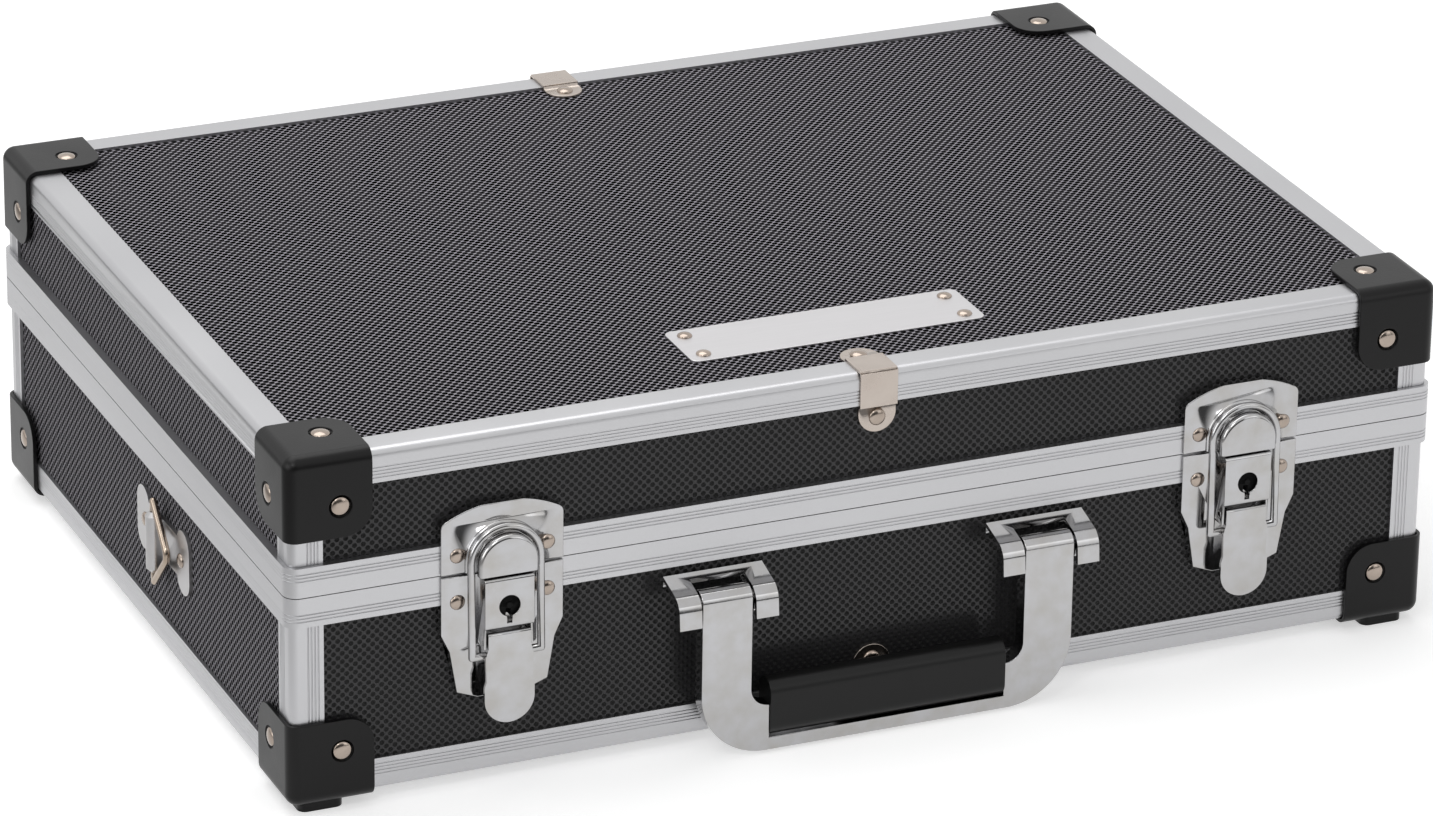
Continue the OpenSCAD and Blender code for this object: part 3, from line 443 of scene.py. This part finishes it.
aluminium = satin_aluminium()
chrome = bright_chrome()
nickel = warm_nickel("warm_nickel", (0.40, 0.345, 0.305), (0.53, 0.475, 0.43), rough=0.2)
rivet_nickel = warm_nickel("rivet_nickel", (0.28, 0.23, 0.195), (0.47, 0.40, 0.345), rough=0.1)
ring_bronze = warm_nickel("ring_bronze", (0.30, 0.235, 0.18), (0.50, 0.42, 0.35), rough=0.1)
strap_steel = warm_nickel("strap_steel", (0.42, 0.415, 0.42), (0.52, 0.51, 0.51), rough=0.24)
sheet_plate = brushed_sheet()
print("metals:", [m.name for m in (aluminium, chrome, nickel, rivet_nickel, ring_bronze,
                                   strap_steel, sheet_plate)])

# %% [markdown]
# ### Moulded plastic and foam
#
# Protectors, grip, dividers and lock barrels are black, with a fine grain from
# their mould. Foam is a mass of small open cells that swallow the light, so it
# is quite dull, with a small dip at each cell; a Voronoi pattern has such cells.
# Each dip is also painted darker, as painted shade in the hollow of the cell.

# %% Plastics and foam


def moulded_plastic(name, colour, rough, grain, gloss):
    """Plastic with faint clouds in its colour and the grain of its mould."""
    mat, tree, shader, place = finish_material(name, colour, metallic=0, roughness=rough)
    shader.inputs["Specular IOR Level"].default_value = gloss
    cloud = noise(tree, place, scale=45, detail=3)
    specks = noise(tree, place, scale=1400, detail=2)
    lay(tree, shader, tint(tree, cloud, [c * 0.8 for c in colour], [c * 1.3 for c in colour]),
        spread(tree, cloud, rough - 0.05, rough + 0.07), specks, depth=0.06 * MM, strength=grain)
    return mat


def foam():
    """Open foam, with cells about a millimetre wide."""
    mat, tree, shader, place = finish_material(
        "open_foam", (0.02, 0.02, 0.022), metallic=0, roughness=0.95)
    shader.inputs["Sheen Weight"].default_value = 0.2
    cells = node(tree, "ShaderNodeTexVoronoi", {"Vector": place, "Scale": 900})
    dips_and_shade = cells.outputs["Distance"]
    # the dip of each cell is painted darker, as painted shade in its hollow
    lay(tree, shader, tint(tree, dips_and_shade, (0.010, 0.010, 0.011), (0.035, 0.035, 0.037)),
        None, dips_and_shade, depth=0.4 * MM, strength=0.6)
    return mat


corner_black = moulded_plastic("corner_black", (0.003, 0.0028, 0.003),
                               rough=0.32, grain=0.4, gloss=0.24)
grip_black = moulded_plastic("grip_black", (0.006, 0.006, 0.006),
                             rough=0.33, grain=0.1, gloss=0.26)
divider_black = moulded_plastic("divider_black", (0.02, 0.02, 0.022),
                                rough=0.55, grain=0.6, gloss=0.3)
lock_black = moulded_plastic("lock_black", (0.006, 0.006, 0.006),
                             rough=0.55, grain=0.2, gloss=0.1)
foam_black = foam()
print("all finishes:", sorted(m.name for m in bpy.data.materials))

# %% [markdown]
# ## A finish for each node
#
# Every node takes the finish of its material slot, but a few have one of their
# own. A panel is a plain board, so its engineering solid is shown as it is, in
# the skin that lies in its own plane.

# %% Give the nodes their finish
finishes = {"extrusion": aluminium, "chrome": chrome, "nickel": nickel,
            "plate": sheet_plate, "mould": corner_black, "foam": foam_black,
            "divider": divider_black, "skin": skin_level}
own_finish = {"handle_grip": grip_black, "strap_brackets": strap_steel,
              "lock_barrel_left": lock_black, "lock_barrel_right": lock_black,
              "strap_ring_left": ring_bronze, "strap_ring_right": ring_bronze}


def finish_for(name):
    """The finish of a node, by its name and its material slot."""
    if name.endswith("_panel"):
        if "front" in name or "rear" in name:
            return skin_front
        if "left" in name or "right" in name:
            return skin_side
    return own_finish.get(name, finishes[slot_of[name]])


for name, obj in nodes.items():
    obj.data.materials.clear()
    obj.data.materials.append(finish_for(name))
print("finished nodes:", len(nodes))

# %% [markdown]
# ## Rounded metalwork and mouldings
#
# Real sheet, extrusions and mouldings never have knife edges: each outer edge
# has a small radius that catches a line of light. Rounding them all in the
# engineering model would make it heavy, so it is done here on a copy. The mesh
# is welded and its flat triangles are joined into whole faces. Then a Bevel
# modifier rounds each outward edge that turns by more than 30 degrees, which
# the bevel weights mark. A sliver, a face thinner than a hair, is left alone,
# because a Bevel turns it inside out.
#
# The extrusions and the rims have fine grooves in their faces. Where a face has
# been rubbed flat they don't show, so they are closed on the copy first.

# %% Helpers for rounded copies
weld = 0.000002  # points that are nearer, in metres, are joined
thin = 0.00001  # a face that is narrower, in metres, is a sliver
flat_turn = math.radians(0.6)
sharp_turn = math.radians(30)
groove_depth = 0.3 * MM
groove_slack = 0.02 * MM


def worn_flat(work, axis, side):
    """Closes the fine grooves of the outermost face on one side of a mesh."""
    face = side * max(side * v.co[axis] for v in work.verts)
    for v in work.verts:
        if abs(abs(face - v.co[axis]) - groove_depth) < groove_slack:
            v.co[axis] = face


def sliver(face):
    """True for a face so thin that it has no area to speak of."""
    return 2 * face.calc_area() < thin * max(e.calc_length() for e in face.edges)


def joined_mesh(name):
    """A welded copy of a node's mesh, with its outward sharp edges marked."""
    mesh = nodes[name].data.copy()
    mesh.name = name + "_rounded"
    work = bmesh.new()
    work.from_mesh(mesh)
    if name.startswith("lid") and name.endswith("_edge"):
        worn_flat(work, Z, 1)
    if "left_edge" in name or name.endswith("_rim"):
        worn_flat(work, X, -1)
    bmesh.ops.remove_doubles(work, verts=work.verts, dist=weld)
    whole = [e for e in work.edges if not any(sliver(f) for f in e.link_faces)]
    bmesh.ops.dissolve_limit(work, angle_limit=flat_turn, verts=work.verts,
                             edges=whole, delimit=set())
    sharp = [e.is_manifold and e.calc_face_angle_signed(0) > sharp_turn
             and not any(sliver(f) for f in e.link_faces) for e in work.edges]
    work.to_mesh(mesh)
    work.free()
    weights = mesh.attributes.new("bevel_weight_edge", "FLOAT", "EDGE")
    weights.data.foreach_set("value", [float(s) for s in sharp])
    if "custom_normal" in mesh.attributes:
        mesh.attributes.remove(mesh.attributes["custom_normal"])
    return mesh


print("in mm: weld", weld / MM, "sliver", thin / MM, "groove", groove_depth / MM)

# %% Rounded copies
edge_widths = (("protector", 0.5), ("handle_grip", 0.8), ("rim", 0.08), ("edge", 0.08),
               ("posts", 0.08), ("latch_bail", 0.1), ("latch_plate", 0.35),
               ("latch_catch", 0.35), ("handle_frame", 0.4), ("divider", 0.4))
other_width = 0.22
made_below = ("base_rivets", "lid_rivets", "base_pad", "lid_foam")


def rounded(name):
    """A node's copy with a Bevel modifier, as wide as its kind of piece asks."""
    mesh = joined_mesh(name)
    mesh.materials.clear()
    mesh.materials.append(nodes[name].data.materials[0])
    mesh.shade_smooth()
    piece = placed(name + "_rounded", mesh)
    mod = piece.modifiers.new("edge", "BEVEL")
    mod.width = MM * next((width for word, width in edge_widths if word in name), other_width)
    mod.segments = 2
    mod.limit_method = "WEIGHT"
    # clamped, the few very short edges of the latch plates would stop them all
    mod.use_clamp_overlap = not name.startswith(("latch_plate", "latch_catch"))
    mod.harden_normals = True
    stand_in(piece, name)
    return piece


copies = [rounded(name) for name in nodes
          if not name.endswith("_panel") and name not in made_below]
print("rounded pieces:", len(copies))

# %% [markdown]
# ## Rivets
#
# Every plate, clip and protector is held by domed rivets: a small steel head,
# formed with a round snap tool over its seat. There are dozens, all alike but
# for their width, so Geometry Nodes make them: one dome is shaped from a sphere,
# its lower half pressed flat, and set on a point for each rivet. The points,
# their outward axes and their widths are read off the engineering solids, so
# each head sits exactly on the seat that carries it.

# %% Find the rivets' seats
head_height = 1.2 * MM
head_sides, head_rings = 32, 16
head_foot = -0.04  # the height at which a ball of radius 1 is pressed flat


def islands(name):
    """The separate solids of a node, each as a list of points."""
    work = bmesh.new()
    work.from_mesh(nodes[name].data)
    bmesh.ops.remove_doubles(work, verts=work.verts, dist=weld)
    work.verts.index_update()
    seen, found = set(), []
    for first in work.verts:
        if first.index in seen:
            continue
        seen.add(first.index)
        todo, held = [first], []
        while todo:
            v = todo.pop()
            held.append(v.co.copy())
            for edge in v.link_edges:
                other = edge.other_vert(v)
                if other.index not in seen:
                    seen.add(other.index)
                    todo.append(other)
        found.append(held)
    work.free()
    return found


def rivet_seats(name):
    """Seat, outward axis and head width of each rivet in a node."""
    middle = (Vector(case_lo) + Vector(case_hi)) / 2
    seats = []
    for points in islands(name):
        lo = Vector([min(p[i] for p in points) for i in range(3)])
        hi = Vector([max(p[i] for p in points) for i in range(3)])
        size = hi - lo
        flat = min(range(3), key=lambda i: size[i])
        out = 1 if (lo[flat] + hi[flat]) / 2 > middle[flat] else -1
        seat = (lo + hi) / 2
        seat[flat] = (hi[flat] if out > 0 else lo[flat]) - out * head_height
        axis = Vector((0, 0, 0))
        axis[flat] = out
        seats.append((seat, axis, sum(size[i] for i in range(3) if i != flat) / 2))
    return seats


seats_of = {name: rivet_seats(name) for name in ("base_rivets", "lid_rivets")}
print("rivets:", {name: len(seats) for name, seats in seats_of.items()})

# %% [markdown]
# The two trees of this script start and end alike. Each takes a mesh and some
# named inputs. At its end Realize Instances turns copies into plain geometry,
# and Set Material gives it a finish. The result is kept as the piece's own mesh,
# so no modifier stays on it.

# %% Helpers for Geometry Nodes


def new_tree(name, inputs):
    """A tree with named inputs. Gives it, the outputs of its input node,
    and the identifier by which a modifier knows each input."""
    tree = bpy.data.node_groups.new(name, "GeometryNodeTree")
    face = tree.interface
    face.new_socket("Geometry", in_out="INPUT", socket_type="NodeSocketGeometry")
    ids = {}
    for title, kind in inputs.items():
        socket = face.new_socket(title, in_out="INPUT", socket_type="NodeSocket" + kind)
        ids[title] = socket.identifier
    face.new_socket("Geometry", in_out="OUTPUT", socket_type="NodeSocketGeometry")
    return tree, tree.nodes.new("NodeGroupInput").outputs, ids


def end_tree(tree, shape, finish):
    """Ends a tree as plain geometry with one finish."""
    real = node(tree, "GeometryNodeRealizeInstances", {0: shape})
    paint = node(tree, "GeometryNodeSetMaterial",
                 {"Geometry": real.outputs[0], "Material": finish})
    node(tree, "NodeGroupOutput", {0: paint.outputs[0]})


def run_tree(piece, tree, ids, values):
    """Runs a tree on a piece and keeps the result as its plain mesh."""
    mod = piece.modifiers.new("nodes", "NODES")
    mod.node_group = tree
    for title, value in values.items():
        mod[ids[title]] = value
    view = bpy.context.evaluated_depsgraph_get()
    mesh = bpy.data.meshes.new_from_object(piece.evaluated_get(view))
    piece.modifiers.remove(mod)
    finish = [m for m in mesh.materials if m][-1]
    mesh.materials.clear()
    mesh.materials.append(finish)
    for polygon in mesh.polygons:
        polygon.material_index = 0
    mesh.name = piece.name
    piece.data = mesh


print("tree helpers:", [f.__name__ for f in (new_tree, end_tree, run_tree)])

# %% A tree that sets a dome on every seat


def rivet_tree():
    """Presses a ball to a dome and sets one on each point."""
    tree, held, ids = new_tree("rivet_heads", {
        "Head height": "Float", "Sides": "Int", "Metal": "Material"})
    ball = node(tree, "GeometryNodeMeshUVSphere",
                {"Segments": held["Sides"], "Rings": head_rings, "Radius": 1.0})
    where = node(tree, "GeometryNodeInputPosition").outputs[0]
    split = node(tree, "ShaderNodeSeparateXYZ", {0: where}).outputs
    upper = math_node(tree, "MAXIMUM", split[Z], head_foot)
    pressed = node(tree, "ShaderNodeCombineXYZ", {X: split[X], Y: split[Y], Z: upper})
    dome = node(tree, "GeometryNodeSetPosition",
                {"Geometry": ball.outputs["Mesh"], "Position": pressed.outputs[0]})
    soft = node(tree, "GeometryNodeSetShadeSmooth", {"Geometry": dome.outputs[0]})
    axis = node(tree, "GeometryNodeInputNamedAttribute", {"Name": "axis"},
                data_type="FLOAT_VECTOR").outputs["Attribute"]
    width = node(tree, "GeometryNodeInputNamedAttribute", {"Name": "width"},
                 data_type="FLOAT").outputs["Attribute"]
    half = math_node(tree, "MULTIPLY", width, 0.5)
    size = node(tree, "ShaderNodeCombineXYZ", {X: half, Y: half, Z: held["Head height"]})
    lean = node(tree, "FunctionNodeAlignRotationToVector", {"Vector": axis}, axis="Z")
    put = node(tree, "GeometryNodeInstanceOnPoints",
               {"Points": held["Geometry"], "Instance": soft.outputs[0],
                "Rotation": lean.outputs[0], "Scale": size.outputs[0]})
    end_tree(tree, put.outputs[0], held["Metal"])
    return tree, ids


rivet_nodes, rivet_inputs = rivet_tree()
print("tree:", rivet_nodes.name, "with", len(rivet_nodes.nodes), "nodes")

# %% Set the rivets


def rivets_for(name, seats):
    """All rivet heads of one node, as one piece."""
    points = bpy.data.meshes.new(name + "_points")
    points.from_pydata([seat for seat, axis, width in seats], [], [])
    points.attributes.new("axis", "FLOAT_VECTOR", "POINT")
    points.attributes.new("width", "FLOAT", "POINT")
    for i, (seat, axis, width) in enumerate(seats):
        points.attributes["axis"].data[i].vector = axis
        points.attributes["width"].data[i].value = width
    piece = placed(name + "_heads", points)
    run_tree(piece, rivet_nodes, rivet_inputs,
             {"Head height": head_height, "Sides": head_sides, "Metal": rivet_nickel})
    stand_in(piece, name)
    return piece


for name, seats in seats_of.items():
    piece = rivets_for(name, seats)
    print(piece.name, len(piece.data.polygons), "faces of", piece.data.materials[0].name)

# %% [markdown]
# ## Foam in the lid
#
# The lid is filled with a sheet of convoluted foam, cut with the wavy face known
# from egg crates, which presses softly on the tools. It could be sculpted, but
# the wave follows a plain rule, a product of two sines, so Geometry Nodes make
# it from a block with many points: the points of the lower face are lifted by
# the wave. Its crests stay at the lower face of the foam block and its hollows
# go up into it.

# %% A tree for the wavy foam
wave_columns, wave_rows = 161, 113
wave_pitch = 28 * MM
wave_depth = 12 * MM
down_tilt = -0.2  # a face whose normal leans down more than this is part of the wave


def egg_crate_tree():
    """Lifts the lower face of a block by a wave, and puts it in its place."""
    tree, held, ids = new_tree("egg_crate_foam", {
        "Size": "Vector", "Middle": "Vector", "Pitch": "Float", "Depth": "Float",
        "Foam": "Material"})
    block = node(tree, "GeometryNodeMeshCube", {
        "Size": held["Size"], "Vertices X": wave_columns, "Vertices Y": wave_rows})
    where = node(tree, "GeometryNodeInputPosition").outputs[0]
    split = node(tree, "ShaderNodeSeparateXYZ", {0: where}).outputs
    ripples = []
    for i in (X, Y):
        turns = math_node(tree, "DIVIDE", split[i], held["Pitch"])
        ripples.append(math_node(tree, "SINE", math_node(tree, "MULTIPLY", turns, 2 * math.pi)))
    wave = math_node(tree, "MULTIPLY", *ripples)
    rise = math_node(tree, "ADD", math_node(tree, "MULTIPLY", wave, 0.5), 0.5)
    lift = math_node(tree, "MULTIPLY", held["Depth"], rise)
    below = math_node(tree, "LESS_THAN", split[Z], 0.0)
    shift = node(tree, "ShaderNodeCombineXYZ", {Z: math_node(tree, "MULTIPLY", lift, below)})
    shaped = node(tree, "GeometryNodeSetPosition",
                  {"Geometry": block.outputs["Mesh"], "Offset": shift.outputs[0]})
    normal = node(tree, "GeometryNodeInputNormal").outputs[0]
    tilt = node(tree, "ShaderNodeSeparateXYZ", {0: normal}).outputs
    faces_down = math_node(tree, "LESS_THAN", tilt[Z], down_tilt)
    soft = node(tree, "GeometryNodeSetShadeSmooth",
                {"Geometry": shaped.outputs[0], "Selection": faces_down})
    moved = node(tree, "GeometryNodeTransform",
                 {"Geometry": soft.outputs[0], "Translation": held["Middle"]})
    end_tree(tree, moved.outputs[0], held["Foam"])
    return tree, ids


foam_nodes, foam_inputs = egg_crate_tree()
print("tree:", foam_nodes.name, "with", len(foam_nodes.nodes), "nodes")

# %% Lay the foam in the lid
foam_lo, foam_hi = (Vector(c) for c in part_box("lid_foam"))
lid_foam = placed("lid_foam_waves", bpy.data.meshes.new("lid_foam_waves"))
run_tree(lid_foam, foam_nodes, foam_inputs, {
    "Size": tuple(foam_hi - foam_lo), "Middle": tuple((foam_lo + foam_hi) / 2),
    "Pitch": wave_pitch, "Depth": wave_depth, "Foam": foam_black})
stand_in(lid_foam, "lid_foam")
print("lid foam:", len(lid_foam.data.polygons), "faces")

# %% [markdown]
# ## Pad in the base
#
# The base is lined with a thin sheet of the same foam, cut with a knife and laid
# in loose. A plain box would look like board: such a sheet is a little worn
# where the tools lie, and its cut edge is softly rounded. So a fine grid is
# lowered a little by slow noise and rolled off towards its edge, then closed
# below.

# %% Pad
pad_columns, pad_rows = 120, 84
roll_depth = 0.9 * MM
roll_reach = 1.5 * MM
worn_depth = 0.45 * MM
worn_scale = 22


def foam_sheet(name, lo, hi, columns, rows):
    """A closed sheet between two corners, with a worn and rolled top."""
    work = bmesh.new()
    top, low = [], []
    for j in range(rows + 1):
        for i in range(columns + 1):
            x = lo.x + (hi.x - lo.x) * i / columns
            y = lo.y + (hi.y - lo.y) * j / rows
            edge = min(x - lo.x, hi.x - x, y - lo.y, hi.y - y)
            roll = roll_depth * math.exp(-edge / roll_reach)
            cloud = cloud_noise.noise(Vector((x, y, 0)) * worn_scale)
            worn = worn_depth * (0.5 + 0.5 * cloud)
            top.append(work.verts.new((x, y, hi.z - roll - worn)))
            low.append(work.verts.new((x, y, lo.z)))
    step = columns + 1
    for j in range(rows):
        for i in range(columns):
            a = j * step + i
            work.faces.new([top[k] for k in (a, a + 1, a + step + 1, a + step)])
            work.faces.new([low[k] for k in (a, a + step, a + step + 1, a + 1)])
    ring = list(range(step)) + [j * step + columns for j in range(1, rows + 1)]
    ring += [rows * step + i for i in range(columns - 1, -1, -1)]
    ring += [j * step for j in range(rows - 1, 0, -1)]
    for a, b in zip(ring, ring[1:] + ring[:1]):
        work.faces.new((low[a], low[b], top[b], top[a]))
    bmesh.ops.recalc_face_normals(work, faces=work.faces)
    mesh = bpy.data.meshes.new(name)
    work.to_mesh(mesh)
    work.free()
    mesh.shade_smooth()
    mesh.materials.append(foam_black)
    return placed(name, mesh)


pad_lo, pad_hi = (Vector(c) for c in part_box("base_pad"))
base_pad = foam_sheet("base_pad_sheet", pad_lo, pad_hi, pad_columns, pad_rows)
stand_in(base_pad, "base_pad")
print("base pad:", len(base_pad.data.polygons), "faces")

# %% [markdown]
# ## Update the scene

# %% Update the scene
bpy.context.view_layer.update()
